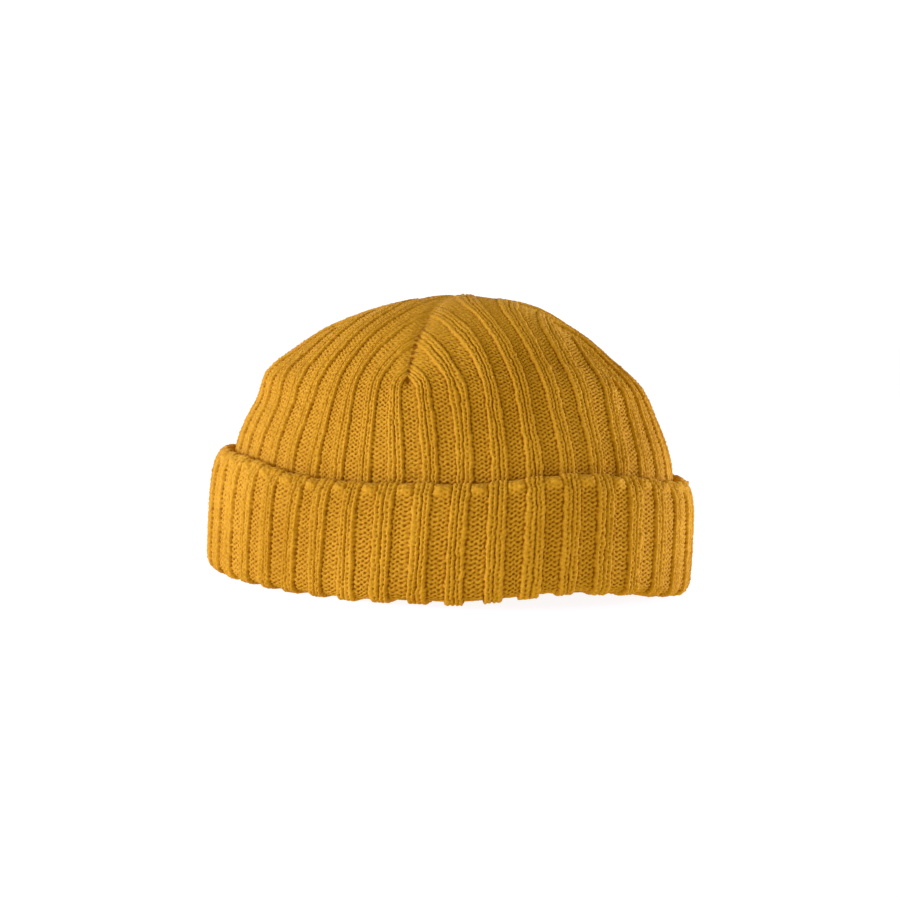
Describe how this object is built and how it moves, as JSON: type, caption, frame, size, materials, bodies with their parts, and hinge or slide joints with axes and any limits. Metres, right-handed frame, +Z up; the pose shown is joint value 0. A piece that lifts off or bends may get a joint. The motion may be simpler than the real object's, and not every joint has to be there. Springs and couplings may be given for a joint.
{
  "type": "fisherman beanie",
  "caption": "Rib-knit cap with a low dome, sewn darts at the top and a turned-up cuff; it stands on the fold of its hem.",
  "frame": {"origin": "middle of the bounding box in plan, on the surface that the cap stands on", "axes": "+Z up through the crown's top, X along the cap's longer way across, as a head is long, and Y across it"},
  "size_m": [0.2172, 0.1758, 0.1189],
  "materials": {
    "crown_knit": "matte mustard-yellow 2 by 2 rib knit with short fuzz",
    "cuff_knit": "matte mustard-yellow 2 by 2 rib knit with short fuzz"
  },
  "bodies": {
    "root": {"crown": "crown_knit", "cuff": "cuff_knit"}
  },
  "joints": []
}
